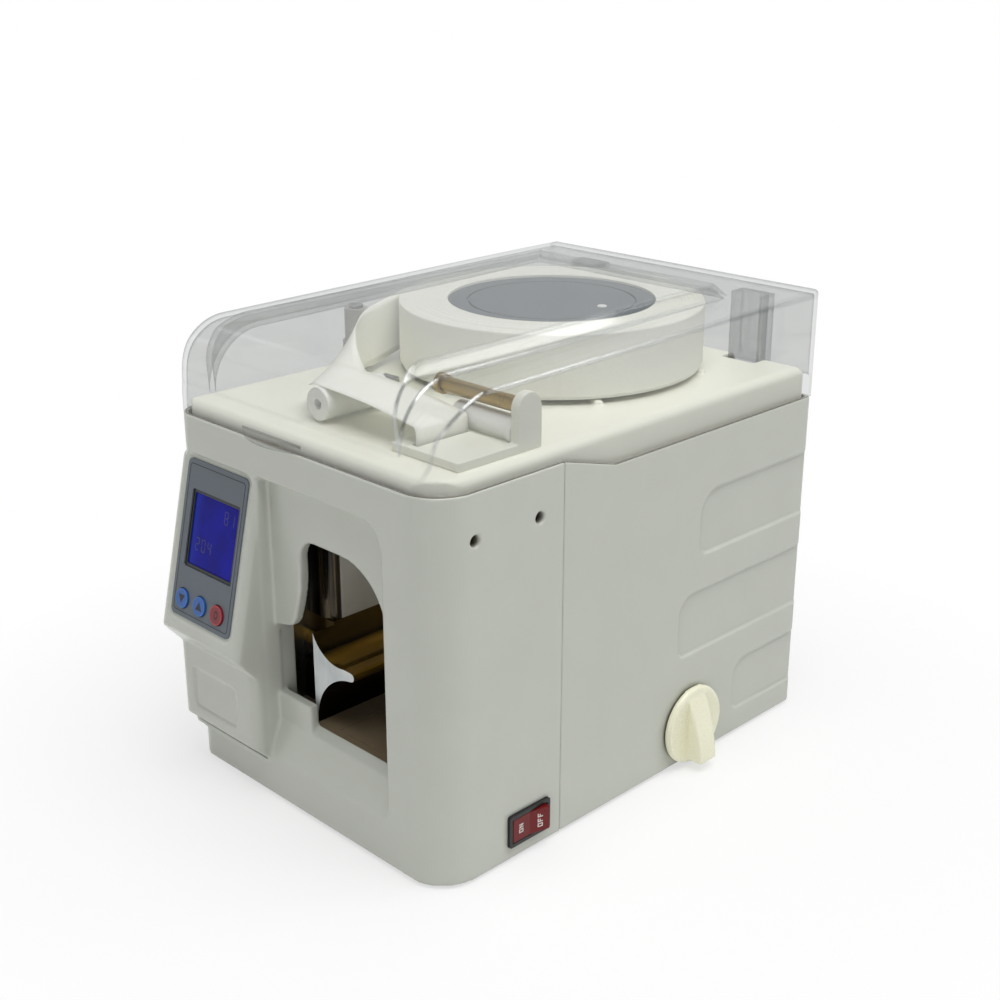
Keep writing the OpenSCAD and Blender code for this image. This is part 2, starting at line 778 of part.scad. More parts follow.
// Pinion with the motor's shaft
module motor_pinion() {
    color("goldenrod") place() {
        translate([gear_x, pin_y, pin_z]) rotate([90, 0, 90])
            spur(pinion_n, gear_w, 240 + 180 / pinion_n);
        rod_x(gear_x - 14, gear_x + eps, 3, pin_y, pin_z);
    }
}

// Iron core of the transformer on the tray
module transformer_core() {
    color("dimgray") place() difference() {
        translate([-hx + 14, by - 76, tray_z]) cube([44, 56, 46]);
        translate([-hx + 8, by - 67, tray_z + 9]) cube([60, 38, 28]);
    }
}

// Winding inside the core's window
module transformer_winding() {
    color("peru") place() translate([-hx + 9, by - 67, tray_z + 9]) cube([54, 38, 28]);
}

// Power board on posts beside the left side plate
module power_board() {
    color("darkgreen") place() {
        translate([plate_l - 11.6, fy + 110, 80]) cube([1.6, 100, 70]);
        for (y = [fy + 116, fy + 204], z = [86, 144])
            rod_x(plate_l - 10.5, plate_l, 3, y, z);
        for (y = [fy + 135, fy + 155])
            rod_x(plate_l - 33, plate_l - 11.5, 8, y, 100);
        translate([plate_l - 31.6, fy + 172, 90]) cube([20.1, 28, 36]);
    }
}

// Upper half of a round edge
module half_arc(y, z, r) {
    intersection() {
        translate([y, z]) circle(r);
        translate([y - r - 1, z]) square([2 * r + 2, r + 1]);
    }
}

// Clear lid's outer form, drawn in by a margin
module lid_form(m) {
    arc_r = 35;
    arc_y = fy + 40.5;
    arc_z = lid_top - 4.5 - arc_r;
    intersection() {
        translate([0, 0, lid_rear_z - 1]) linear_extrude(200) round_rect(-hx + m, fy + m, hx - m, by - m,
            [corner_left_r - m, corner_r - m, 4 - m, 4 - m]);
        along_x(-hx - 1, hx + 1) {
            half_arc(arc_y, arc_z, arc_r - m);
            polygon([[fy + m, lid_z - m], [fy + 5.5 + m, arc_z], [arc_y, arc_z], [arc_y, lid_top - 4.5 - m],
                [by, lid_top - m], [by, rear_h + 4], [by - 2, lid_rear_z], [by - 2, lid_rear_z - m],
                [jog_y, lid_rear_z - m], [seam_y, lid_z - m]]);
        }
        along_y(fy - 1, by + 1) {
            translate([-hx + m, lid_rear_z - 1]) square([body_w - 2 * m, lid_top - lid_rear_z - 10]);
            round_rect(-hx + m, lid_top - 40, hx - m, lid_top - m, [1, 1, 5 - m, 5 - m]);
        }
    }
}

// Raised panel of the lid, drawn in by a margin
module lid_panel(m) {
    arc_r = 27;
    arc_y = fy + 30.5;
    arc_z = lid_top + 5 - arc_r;
    intersection() {
        along_x(-hx, hx) {
            half_arc(arc_y, arc_z, arc_r - m);
            polygon([[fy + 5.2 + m, lid_z + 15.5], [fy + 3.5 + m, arc_z], [arc_y, arc_z],
                [arc_y, lid_top + 5 - m], [by - 56 - m, lid_top + 6.5 - m],
                [by - 46 - m, lid_top - 6], [by - 46 - m, lid_z + 30]]);
        }
        along_y(fy - 1, by + 1)
            polygon([[-84 + m, lid_z], [-82 + m, lid_top - 3], [-73 + m, lid_top + 8], [73 - m, lid_top + 8],
                [82 - m, lid_top - 3], [84 - m, lid_z]]);
    }
}

// Clear lid with its raised panel and finger tab
module lid() {
    color("lightcyan", 0.4) place() difference() {
        union() {
            lid_form(0);
            lid_panel(0);
            intersection() {
                translate([-20, fy + 49, lid_z]) cylinder(r = 55, h = 5);
                translate([-60, fy - 20, lid_z]) cube([90, 21, 20]);
            }
        }
        lid_form(lid_t);
        lid_panel(lid_t);
        translate([-hx + lid_t, by - 10, lid_rear_z - 5])
            cube([body_w - 2 * lid_t, 30, hinge_z + 11.5 - lid_rear_z]);
    }
}

// Channel posts inside the lid's back wall with the hinge barrels
module lid_arms() {
    color("lightcyan", 0.5) place() for (s = [-1, 1]) difference() {
        union() {
            difference() {
                translate([s * hinge_x - arm_w / 2, by - 15, hinge_z - 3])
                    cube([arm_w, 15 - lid_t, lid_top - 7 - hinge_z + 3]);
                translate([s * hinge_x - arm_w / 2 + 2.5, by - 20, hinge_z + 9])
                    cube([arm_w - 5, 17.4 - lid_t, 80]);
            }
            rod_x(s * hinge_x - arm_w / 2, s * hinge_x + arm_w / 2, 5, hinge_y, hinge_z);
        }
        rod_x(s * hinge_x - arm_w, s * hinge_x + arm_w, 2.5 + run, hinge_y, hinge_z);
        difference() {
            translate([s * hinge_x - arm_w, hinge_y - 0.5, hinge_z - 8]) cube([arm_w * 2, 10, 14.5]);
            rod_x(s * hinge_x - arm_w * 2, s * hinge_x + arm_w * 2, 5, hinge_y, hinge_z);
        }
    }
}

// Pins of the lid hinge in the deck's ears
module hinge_pins() {
    color("silver") place() for (s = [-1, 1])
        rod_x(s * hinge_x - arm_w / 2 - 4.6, s * hinge_x + arm_w / 2 + 4.6, 2.5, hinge_y, hinge_z);
}

// Spindle of the reel on the deck
module reel_spindle() {
    color("silver") place() translate([reel_x, reel_y, deck_z - deck_t])
        cylinder(r = 6, h = reel_z + tape_w - 9.5 - deck_z + deck_t);
}

// White disc that the roll lies on
module reel_disc() {
    color("white") place() difference() {
        translate([reel_x, reel_y, reel_z - 1.6]) cylinder(r = roll_r - 1, h = 1.6, $fn = 128);
        translate([reel_x, reel_y, reel_z - 5]) cylinder(r = 6 + run, h = 20);
    }
}

// Grey hub inside the paper roll
module reel_hub() {
    color("gray") place() translate([reel_x, reel_y, reel_z]) rotate_extrude($fn = 128)
        polygon([[6 + run, 0], [14, 0], [14, tape_w - 5.5], [hub_r - 4, tape_w - 5.5], [hub_r - 4, 0],
            [hub_r, 0], [hub_r, tape_w - 1.5], [hub_r - 12.2, tape_w - 1.5],
            [hub_r - 12.2, tape_w - 2.5], [hub_r - 13.6, tape_w - 2.5], [hub_r - 13.6, tape_w - 1.5],
            [0, tape_w - 1.5], [0, tape_w - 9], [6 + run, tape_w - 9]]);
}

// Roll of paper tape
module paper_roll() {
    color("white") place() translate([reel_x, reel_y, reel_z]) difference() {
        cylinder(r = roll_r, h = tape_w, $fn = 128);
        translate([0, 0, -1]) cylinder(r = hub_r, h = tape_w + 2, $fn = 128);
    }
}

// Pin of the guide post
module guide_pin() {
    color("silver") place() translate([post_x, post_y, deck_z - deck_t]) union() {
        cylinder(r = 3, h = 43);
        translate([0, 0, deck_t]) cylinder(r = 6, h = 2);
        translate([0, 0, 41.2]) cylinder(r = 4.5, h = 1.8);
    }
}

// Grey guide post that keeps the tape off the lid
module guide_post() {
    color("gray") place() translate([post_x, post_y, deck_z]) difference() {
        union() {
            translate([0, 0, 2.1]) cylinder(r = 9, h = 15);
            translate([0, 0, 3]) cylinder(r = post_r, h = 35);
        }
        cylinder(r = 3 + run, h = 60);
    }
}

// Stand and pin of the tube roller
module tube_pin() {
    color("silver") place() {
        rod_y(tube_y0 + 4, tube_y0 + 56, 3, tube_x, tube_z);
        translate([tube_x - 6, tube_y0 + 48, deck_z]) cube([12, 8, tube_z - deck_z + 6]);
    }
}

// White tube roller that the tape runs over
module tube_roller() {
    color("white") place() difference() {
        rod_y(tube_y0, tube_y0 + 46, tube_r, tube_x, tube_z);
        rod_y(tube_y0 - 1, tube_y0 + 50, 3 + run, tube_x, tube_z);
    }
}

// Feed block on the deck with the ear that carries the roller and the rod
module feed_block() {
    color("ivory") place() difference() {
        union() {
            translate([52, fy + 27, deck_z]) cube([ear_x + 6 - 52, 43.5, 5]);
            along_x(ear_x, ear_x + 6) {
                translate([roller_y - 13, deck_z]) square([22, 5]);
                translate([roller_y - 9, deck_z]) square([18, rod_z - deck_z]);
                translate([roller_y, rod_z]) circle(9);
            }
        }
        translate([63, tape_y0 - 1, deck_z - 1]) cube([5, tape_w + 2, 20]);
        rod_x(ear_x - 1, ear_x + 4, 3, roller_y, roller_z);
        rod_x(ear_x - 1, ear_x + 4, 4.5, roller_y, rod_z);
    }
}

// Pin of the feed roller
module feed_pin() {
    color("silver") place() rod_x(50, ear_x + 4, 3, roller_y, roller_z);
}

// White feed roller with an end flange
module feed_roller() {
    color("white") place() difference() {
        union() {
            rod_x(50, ear_x - 0.4, roller_r, roller_y, roller_z);
            rod_x(ear_x - 4, ear_x - 0.4, roller_r + 1.6, roller_y, roller_z);
        }
        rod_x(40, ear_x + 10, 3 + run, roller_y, roller_z);
    }
}

// Brass rod above the feed roller with a turned head
module brass_rod() {
    color("goldenrod") place() {
        rod_x(38, ear_x + 4, 4.5, roller_y, rod_z);
        rod_x(34, 38 + eps, 6, roller_y, rod_z);
    }
}

// One length of paper tape between two cross lines, each a middle point and a half-width direction
module tape_span(a, b) {
    hull() {
        translate(a[0] + a[1]) sphere(r = tape_t / 2, $fn = 8);
        translate(a[0] - a[1]) sphere(r = tape_t / 2, $fn = 8);
        translate(b[0] + b[1]) sphere(r = tape_t / 2, $fn = 8);
        translate(b[0] - b[1]) sphere(r = tape_t / 2, $fn = 8);
    }
}

// Angle round the reel where the tape leaves it for the guide post
function leave_angle() =
    let (dx = turn_x - reel_x, dy = turn_y - reel_y)
    atan2(dy, dx) - acos((roll_r + tape_gap) / sqrt(dx * dx + dy * dy));

// Middle line of the twisted tape from the guide post to the feed block
function tape_mid(t) = [
    (1 - t) * (1 - t) * turn_x + 2 * t * (1 - t) * (tube_x - 46) + t * t * (tube_x - 6),
    (1 - t) * (1 - t) * turn_y + 2 * t * (1 - t) * (tape_y0 + tape_w / 2 + 14)
        + t * t * (tape_y0 + tape_w / 2),
    deck_z + 5 + tape_w / 2 + (tube_z + tube_r + 0.4 - deck_z - 5 - tape_w / 2) * t];

// Half-width direction of the twisted tape
function tape_half(t) = tape_w / 2 * [sin(t * 90) * 0.3 * (1 - t), sin(t * 90), cos(t * 90)];

// Paper tape from the reel past the post, twisted flat over the tube roller and into the feed block
module paper_tape() {
    color("white") place() {
        steps = 14;
        ends = [for (i = [0 : steps]) [tape_mid(i / steps), tape_half(i / steps)]];
        flat = [0, tape_w / 2, 0];
        mid_y = tape_y0 + tape_w / 2;
        run_z = tube_z + tube_r + 0.4;
        out_r = roll_r + tape_gap;
        turn = leave_angle();
        start = [reel_x + out_r * cos(turn), reel_y + out_r * sin(turn), reel_z + tape_w / 2];
        path = concat([[start, [0, 0, tape_w / 2]]], ends,
            [for (i = [1 : 8]) [[tube_x - 6 + i * 9, mid_y, run_z - i * i * 0.075], flat]],
            [[[64, mid_y, run_z - 6.5], flat], [[65.2, mid_y, run_z - 9], flat],
                [[65.5, mid_y, deck_z - 6], flat]]);
        for (i = [0 : len(path) - 2]) tape_span(path[i], path[i + 1]);
    }
}

base_tray();
rubber_feet();
front_shell();
rear_shell();
top_deck();
casing_screws();
panel_overlay();
lcd_frame();
lcd_glass();
control_board();
key_down();
key_up();
key_clear();
switch_housing();
rocker();
power_inlet();
left_plate();
right_plate();
tie_rods();
chassis_screws();
note_floor();
note_back();
left_guide();
tape_guide_block();
press_table();
press_bush();
seal_guide();
seal_head();
cutter_blade();
hand_knob();
main_shaft();
drive_gear();
timing_disc();
shaft_bushes();
motor();
motor_bracket();
motor_pinion();
transformer_core();
transformer_winding();
power_board();
lid();
lid_arms();
hinge_pins();
reel_spindle();
reel_disc();
reel_hub();
paper_roll();
guide_pin();
guide_post();
tube_pin();
tube_roller();
feed_block();
feed_pin();
feed_roller();
brass_rod();
paper_tape();
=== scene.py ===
import math
import random

import bmesh
import bpy
from mathutils import Matrix, Vector


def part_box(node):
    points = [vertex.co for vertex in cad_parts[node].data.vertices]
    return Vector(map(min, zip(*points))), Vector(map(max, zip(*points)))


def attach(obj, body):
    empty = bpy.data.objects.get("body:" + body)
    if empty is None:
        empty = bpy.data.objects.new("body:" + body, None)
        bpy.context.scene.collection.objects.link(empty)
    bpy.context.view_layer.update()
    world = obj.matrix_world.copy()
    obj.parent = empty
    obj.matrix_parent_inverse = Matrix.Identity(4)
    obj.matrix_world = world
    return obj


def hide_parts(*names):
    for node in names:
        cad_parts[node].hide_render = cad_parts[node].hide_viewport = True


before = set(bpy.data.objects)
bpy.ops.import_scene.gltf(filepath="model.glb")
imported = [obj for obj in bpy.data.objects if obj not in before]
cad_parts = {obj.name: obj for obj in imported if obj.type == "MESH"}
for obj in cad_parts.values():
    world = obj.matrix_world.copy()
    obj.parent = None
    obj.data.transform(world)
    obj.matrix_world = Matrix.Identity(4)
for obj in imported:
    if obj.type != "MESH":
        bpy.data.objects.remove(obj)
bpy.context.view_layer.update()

# Base tray and feet: a folded steel pan under a coat of light grey paint, on four
# soft black rubber feet pressed into its floor. Everything else is screwed to the pan.


def tint(r, g, b):
    """A colour as seen on a screen, in the renderer's own linear values."""
    shares = (r / 255, g / 255, b / 255)
    return tuple(c / 12.92 if c < 11 / 255 else ((c + 0.055) / 1.055) ** 2.4 for c in shares) + (1,)


def blank_finish(name):
    mat = bpy.data.materials.new(name)
    mat.use_nodes = True
    nodes = mat.node_tree.nodes
    skin = next(n for n in nodes if n.type == "BSDF_PRINCIPLED")
    return mat, nodes, mat.node_tree.links, skin


def cloudy(nodes, links, size, detail=3.0, stretch=(1, 1, 1)):
    """Noise fixed to the piece, about size metres from spot to spot."""
    where = nodes.new("ShaderNodeTexCoord")
    lay = nodes.new("ShaderNodeMapping")
    lay.inputs["Scale"].default_value = stretch
    noise = nodes.new("ShaderNodeTexNoise")
    noise.inputs["Scale"].default_value = 1 / size
    noise.inputs["Detail"].default_value = detail
    links.new(where.outputs["Object"], lay.inputs["Vector"])
    links.new(lay.outputs["Vector"], noise.inputs["Vector"])
    return noise.outputs["Fac"]


def spread(nodes, links, value, low, high, from_low=0.3, from_high=0.7):
    span = nodes.new("ShaderNodeMapRange")
    span.inputs["From Min"].default_value = from_low
    span.inputs["From Max"].default_value = from_high
    span.inputs["To Min"].default_value = low
    span.inputs["To Max"].default_value = high
    links.new(value, span.inputs["Value"])
    return span.outputs["Result"]


def two_tone(nodes, links, value, dark, light, low=0.35, high=0.65):
    ramp = nodes.new("ShaderNodeValToRGB")
    ramp.color_ramp.elements[0].position = low
    ramp.color_ramp.elements[0].color = dark
    ramp.color_ramp.elements[1].position = high
    ramp.color_ramp.elements[1].color = light
    links.new(value, ramp.inputs["Fac"])
    return ramp.outputs["Color"]


def moulded(name, colour, rough, grain_size=0.0011, grain=0.06, mottle=0.04, round_edge=0.0008, gloss=0.5):
    """Injection moulded plastic: faint cloudiness, a fine eroded grain and softly broken edges."""
    mat, nodes, links, skin = blank_finish(name)
    full = tint(*colour)
    dark = tuple(c * (1 - mottle) for c in full[:3]) + (1,)
    links.new(two_tone(nodes, links, cloudy(nodes, links, 0.035), dark, full), skin.inputs["Base Color"])
    grit = cloudy(nodes, links, grain_size, 4)
    links.new(spread(nodes, links, grit, rough * 0.9, rough * 1.12), skin.inputs["Roughness"])
    bump = nodes.new("ShaderNodeBump")
    bump.inputs["Strength"].default_value = grain
    bump.inputs["Distance"].default_value = 0.0003
    links.new(grit, bump.inputs["Height"])
    if round_edge:
        edge = nodes.new("ShaderNodeBevel")
        edge.samples = 4
        edge.inputs["Radius"].default_value = round_edge
        links.new(edge.outputs["Normal"], bump.inputs["Normal"])
    links.new(bump.outputs["Normal"], skin.inputs["Normal"])
    skin.inputs["Specular IOR Level"].default_value = gloss
    return mat


def dress(finish, *names):
    for name in names:
        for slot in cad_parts[name].material_slots:
            slot.material = finish


dress(moulded("tray_paint", (196, 199, 194), 0.5, 0.0007, 0.12), "base_tray")
dress(moulded("foot_rubber", (26, 26, 27), 0.75, 0.0009, 0.3, 0.15), "rubber_feet")

# Casing: front and rear shells of glossy white ABS about 3 mm thick, with soft moulded
# edges. The front one carries the control column, the bay and the note opening. Painted shade, by ambient
# occlusion, turns the colour brown-grey at the bottoms of its screw wells and in its other deep hollows.


def soft_edged(node, piece, voxel, passes, keep, finish, body="base"):
    """The CAD shell's own shape with its edges melted round, as a mould leaves them."""
    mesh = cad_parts[node].data.copy()
    shell = bpy.data.objects.new(piece, mesh)
    bpy.context.scene.collection.objects.link(shell)
    work = bmesh.new()
    work.from_mesh(mesh)
    bmesh.ops.remove_doubles(work, verts=work.verts, dist=1e-6)
    work.to_mesh(mesh)
    work.free()
    skin = shell.modifiers.new("even_skin", "REMESH")
    skin.mode = "VOXEL"
    skin.voxel_size = voxel
    melt = shell.modifiers.new("melted_edges", "SMOOTH")
    melt.factor = 0.5
    melt.iterations = passes
    lean = shell.modifiers.new("lean_flats", "DECIMATE")
    lean.ratio = keep
    seen = shell.evaluated_get(bpy.context.evaluated_depsgraph_get())
    shell.data = bpy.data.meshes.new_from_object(seen)
    shell.modifiers.clear()
    shell.data.shade_smooth()
    shell.data.materials.clear()
    shell.data.materials.append(finish)
    even = shell.modifiers.new("even_shading", "WEIGHTED_NORMAL")
    even.weight = 80
    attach(shell, body)
    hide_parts(node)
    return shell


casing_white = moulded("casing_white_abs", (199, 202, 192), 0.24, 0.0013, 0.006, 0.02, 0)
nodes, links = casing_white.node_tree.nodes, casing_white.node_tree.links
skin = next(n for n in nodes if n.type == "BSDF_PRINCIPLED")
# Painted shade: ambient occlusion turns the colour brown-grey in the screw wells and other deep hollows.
hollow = nodes.new("ShaderNodeAmbientOcclusion")
hollow.samples = 6
hollow.inputs["Distance"].default_value = 0.009
painted_hollow_shade = nodes.new("ShaderNodeMix")
painted_hollow_shade.data_type = "RGBA"
links.new(spread(nodes, links, hollow.outputs["AO"], 1, 0, 0.12, 0.42), painted_hollow_shade.inputs["Factor"])
links.new(skin.inputs["Base Color"].links[0].from_socket, painted_hollow_shade.inputs["A"])
painted_hollow_shade.inputs["B"].default_value = tint(92, 80, 66)
links.new(painted_hollow_shade.outputs["Result"], skin.inputs["Base Color"])
front_casing = soft_edged("front_shell", "front_casing", 0.0010, 4, 0.28, casing_white)
sill_left, sill_right = -0.023, 0.055
sill_front, sill_back = -0.151, -0.138
sill_foot, sill_top = 0.051, 0.0645
sill_drop, sill_blend = 0.0038, 0.009
for corner in front_casing.data.vertices:
    at = corner.co
    if sill_left < at.x < sill_right and sill_front < at.y < sill_back and at.z < sill_top:
        at.z -= sill_drop * min(max((at.z - sill_foot) / sill_blend, 0), 1)
soft_edged("rear_shell", "rear_casing", 0.0009, 2, 0.25, casing_white)

# Casing screws: small pan heads of dulled zinc at the bottom of deep wells in the side walls.
# Their cross slots are milled, and the shanks go into the deck's lugs.


def turned_metal(name, colour, rough, scratch=(1, 1, 40), scratch_size=0.01, strength=0.05):
    """Bare metal with fine tool marks along one direction and a little uneven polish."""
    mat, nodes, links, skin = blank_finish(name)
    full = tint(*colour)
    dark = tuple(c * 0.86 for c in full[:3]) + (1,)
    lines = cloudy(nodes, links, scratch_size, 5, scratch)
    links.new(two_tone(nodes, links, cloudy(nodes, links, 0.02), dark, full), skin.inputs["Base Color"])
    links.new(spread(nodes, links, lines, rough * 0.75, rough * 1.3), skin.inputs["Roughness"])
    bump = nodes.new("ShaderNodeBump")
    bump.inputs["Strength"].default_value = strength
    bump.inputs["Distance"].default_value = 0.0002
    links.new(lines, bump.inputs["Height"])
    edge = nodes.new("ShaderNodeBevel")
    edge.samples = 4
    edge.inputs["Radius"].default_value = 0.0004
    links.new(edge.outputs["Normal"], bump.inputs["Normal"])
    links.new(bump.outputs["Normal"], skin.inputs["Normal"])
    skin.inputs["Metallic"].default_value = 1
    return mat


zinc = turned_metal("zinc_screw", (112, 92, 70), 0.4)
dress(zinc, "casing_screws", "chassis_screws")

# Chassis: two folded steel side plates joined by tie rods stand in the pan and carry
# the whole drive. Plated steel with the faint cloud of its zinc.
plated = turned_metal("plated_steel", (150, 152, 150), 0.42, (1, 6, 6), 0.02, 0.04)
dress(plated, "left_plate", "right_plate", "motor_bracket")
bright_bar = turned_metal("bright_bar", (176, 177, 178), 0.24)
dress(bright_bar, "tie_rods", "main_shaft", "hinge_pins", "reel_spindle")
dress(turned_metal("oiled_bronze", (150, 116, 66), 0.38), "shaft_bushes", "press_bush")

# Note chamber: brown-grey floor, satin grey back plate, a guide on the left with a black polished bend that
# carries painted highlights in fine vertical streaks, and the cusp block that leads the tape round the
# bundle.
# The block's flanks are mirror polished and carry painted reflections in dark, gold and brown bands up
# their height, and only its sawn front face is bright.


def cusp_finish(name):
    """Bright satin on the sawn front face; mirror polish on the flanks, with painted reflections in bands
    up their height.
    """
    mat, nodes, links, skin = blank_finish(name)
    where = nodes.new("ShaderNodeNewGeometry")
    parts = nodes.new("ShaderNodeSeparateXYZ")
    links.new(where.outputs["Normal"], parts.inputs["Vector"])
    place = nodes.new("ShaderNodeTexCoord")
    spot = nodes.new("ShaderNodeSeparateXYZ")
    links.new(place.outputs["Object"], spot.inputs["Vector"])
    sawn = nodes.new("ShaderNodeMath")
    sawn.operation = "MULTIPLY"
    sawn.use_clamp = True
    links.new(spread(nodes, links, parts.outputs["Y"], 1, 0, -0.9, -0.7), sawn.inputs[0])
    links.new(spread(nodes, links, spot.outputs["Y"], 1, 0, -0.1215, -0.1205), sawn.inputs[1])
    front = sawn.outputs["Value"]
    # Painted reflections: up the flanks the colour runs dark, then a gold stripe, a dark line and brown.
    ramp = nodes.new("ShaderNodeValToRGB")
    steps = ((0.0, (22, 18, 12)), (0.3, (34, 28, 18)), (0.62, (40, 32, 18)), (0.66, (132, 102, 34)),
             (0.76, (176, 138, 56)), (0.80, (30, 24, 14)), (0.84, (78, 60, 26)), (1.0, (96, 76, 36)))
    while len(ramp.color_ramp.elements) < len(steps):
        ramp.color_ramp.elements.new(0.5)
    for element, (at, colour) in zip(ramp.color_ramp.elements, steps):
        element.position = at
        element.color = tint(*colour)
    wander = cloudy(nodes, links, 0.03, 2, (1, 0.3, 1))
    height = nodes.new("ShaderNodeMath")
    height.operation = "MULTIPLY_ADD"
    height.inputs[1].default_value = 0.004
    links.new(wander, height.inputs[0])
    links.new(spot.outputs["Z"], height.inputs[2])
    links.new(spread(nodes, links, height.outputs["Value"], 0, 1, 0.058, 0.117), ramp.inputs["Fac"])
    colour = nodes.new("ShaderNodeMix")
    colour.data_type = "RGBA"
    links.new(front, colour.inputs["Factor"])
    links.new(ramp.outputs["Color"], colour.inputs["A"])
    saw_marks = cloudy(nodes, links, 0.012, 4, (1, 1, 0.4))
    bright = two_tone(nodes, links, saw_marks, tint(196, 202, 203), tint(226, 230, 230))
    links.new(bright, colour.inputs["B"])
    links.new(colour.outputs["Result"], skin.inputs["Base Color"])
    links.new(spread(nodes, links, front, 0.16, 0.5, 0, 1), skin.inputs["Roughness"])
    links.new(spread(nodes, links, front, 0.85, 0.0, 0, 1), skin.inputs["Metallic"])
    edge = nodes.new("ShaderNodeBevel")
    edge.samples = 4
    edge.inputs["Radius"].default_value = 0.0005
    links.new(edge.outputs["Normal"], skin.inputs["Normal"])
    return mat


dress(cusp_finish("cusp_steel_painted_reflections"), "tape_guide_block")
dress(moulded("floor_brown_grey", (142, 126, 102), 0.3, 0.0012, 0.04, 0.1), "note_floor", "press_table")
dress(moulded("back_grey_lacquer", (222, 217, 204), 0.42, 0.0015, 0.02), "note_back")
mat, nodes, links, skin = blank_finish("guide_polish_painted_streaks")
# Painted highlights: fine vertical streaks of lighter brown on the black polish stand in for the glints on
# its bend.
painted_streak_highlights = cloudy(nodes, links, 0.004, 3, (1, 1, 0.04))
polish_with_painted_streaks = two_tone(nodes, links, painted_streak_highlights, tint(20, 18, 14), tint(112, 98, 72), 0.45, 0.75)
lacquer = two_tone(nodes, links, cloudy(nodes, links, 0.03), tint(206, 202, 190), tint(220, 216, 204))
where = nodes.new("ShaderNodeNewGeometry")
parts = nodes.new("ShaderNodeSeparateXYZ")
links.new(where.outputs["True Normal"], parts.inputs["Vector"])
side = spread(nodes, links, parts.outputs["X"], 0, 1, 0.97, 0.99)
coat = nodes.new("ShaderNodeMix")
coat.data_type = "RGBA"
links.new(side, coat.inputs["Factor"])
links.new(polish_with_painted_streaks, coat.inputs["A"])
links.new(lacquer, coat.inputs["B"])
links.new(coat.outputs["Result"], skin.inputs["Base Color"])
links.new(spread(nodes, links, side, 0.14, 0.42, 0, 1), skin.inputs["Roughness"])
links.new(spread(nodes, links, side, 0.6, 0, 0, 1), skin.inputs["Metallic"])
dress(mat, "left_guide")
dress(turned_metal("cutter_steel", (190, 192, 196), 0.18, (40, 1, 1)), "cutter_blade")
dress(turned_metal("seal_iron", (120, 118, 116), 0.35), "seal_head", "seal_guide")

# Drive: hand knob of ivory plastic on the main shaft, a nylon gear that meets the motor's
# pinion, the slotted timing disc, and the gear motor on its bracket.
ivory = moulded("knob_ivory", (246, 244, 218), 0.28, 0.0008, 0, 0.012, 0)
grip_knob = soft_edged("hand_knob", "grip_knob", 0.0006, 14, 1, ivory, "knob")
knob_face, knob_mid = 0.1125, 0.061
wing_growth, wing_blend = 0.2, 0.002
knob_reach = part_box("hand_knob")[1][0] - 0.0001
wing_tip = max(corner.co.x for corner in grip_knob.data.vertices)
for corner in grip_knob.data.vertices:
    out = corner.co.x - knob_face
    if out > 0:
        corner.co.y = knob_mid + (corner.co.y - knob_mid) * (1 + wing_growth * min(out / wing_blend, 1))
        corner.co.x = knob_face + out * (knob_reach - knob_face) / (wing_tip - knob_face)
dress(moulded("gear_nylon", (222, 220, 206), 0.4), "drive_gear")
dress(moulded("disc_black", (24, 24, 25), 0.4), "timing_disc")
dress(turned_metal("motor_can", (140, 142, 144), 0.35, (1, 1, 30)), "motor")
dress(turned_metal("pinion_brass", (184, 150, 82), 0.3), "motor_pinion")

# Electrics: a core of stacked iron sheets with a taped winding, and the green power and control
# boards. All of them are inside the casing.
dress(turned_metal("core_laminations", (92, 88, 84), 0.5, (1, 1, 300), 0.02, 0.3), "transformer_core")
dress(moulded("winding_tape", (186, 142, 60), 0.45, 0.0006, 0.2), "transformer_winding")
dress(moulded("board_green", (28, 84, 52), 0.35, 0.0008, 0.1, 0.12), "power_board", "control_board")

# Control panel: a grey printed overlay with rounded corners and a thin black border, in a
# shallow recess of the leaning column.
row_shift = Vector((-8.75, 11.005, 2))
panel_top = Vector((0, -165, 204))
panel_lean = math.radians(-13)
panel_at = Matrix.Translation((row_shift + panel_top) / 1000) @ Matrix.Rotation(panel_lean, 4, "X")
overlay_grey = moulded("overlay_grey_film", (103, 111, 118), 0.42, 0.0006, 0.02, 0.03, 0.0003, 0.3)
dress(overlay_grey, "panel_overlay")
dress(moulded("window_black", (20, 20, 24), 0.3), "lcd_frame")


def printed(name, outline_sets, depth, thick, finish, body="base"):
    """Flat ink shapes on the leaning panel: each outline is a list of (x, z) in millimetres."""
    work = bmesh.new()
    for outline in outline_sets:
        low, high = [[work.verts.new(panel_at @ (Vector((x, y, z)) / 1000)) for x, z in outline]
                     for y in (depth + thick, depth)]
        work.faces.new(high)
        work.faces.new(low[::-1])
        for i in range(len(outline)):
            j = (i + 1) % len(outline)
            work.faces.new((high[j], high[i], low[i], low[j]))
    bmesh.ops.recalc_face_normals(work, faces=work.faces)
    mesh = bpy.data.meshes.new(name)
    work.to_mesh(mesh)
    work.free()
    ink = bpy.data.objects.new(name, mesh)
    bpy.context.scene.collection.objects.link(ink)
    mesh.materials.append(finish)
    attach(ink, body)


def rounded(x0, z0, x1, z1, r):
    steps = 6
    points = []
    middles = ((x1 - r, z1 - r), (x0 + r, z1 - r), (x0 + r, z0 + r), (x1 - r, z0 + r))
    for quarter, (cx, cz) in enumerate(middles):
        for i in range(steps + 1):
            a = math.radians(90 * quarter + 90 * i / steps)
            points.append((cx + r * math.cos(a), cz + r * math.sin(a)))
    return points


def line_loop(x0, z0, x1, z1, r, width):
    """A closed line of ink as one strip of four-cornered faces."""
    outer = rounded(x0, z0, x1, z1, r)
    inner = rounded(x0 + width, z0 + width, x1 - width, z1 - width, r - width)
    count = len(outer)
    return [[outer[i], outer[(i + 1) % count], inner[(i + 1) % count], inner[i]] for i in range(count)]


border_ink = moulded("border_ink", (34, 35, 38), 0.5, 0.0006, 0.05, 0.1, 0)
printed("overlay_border", line_loop(-100.2, -94.2, -44.8, -2.8, 2.4, 0.5), 0.44, 0.08, border_ink)

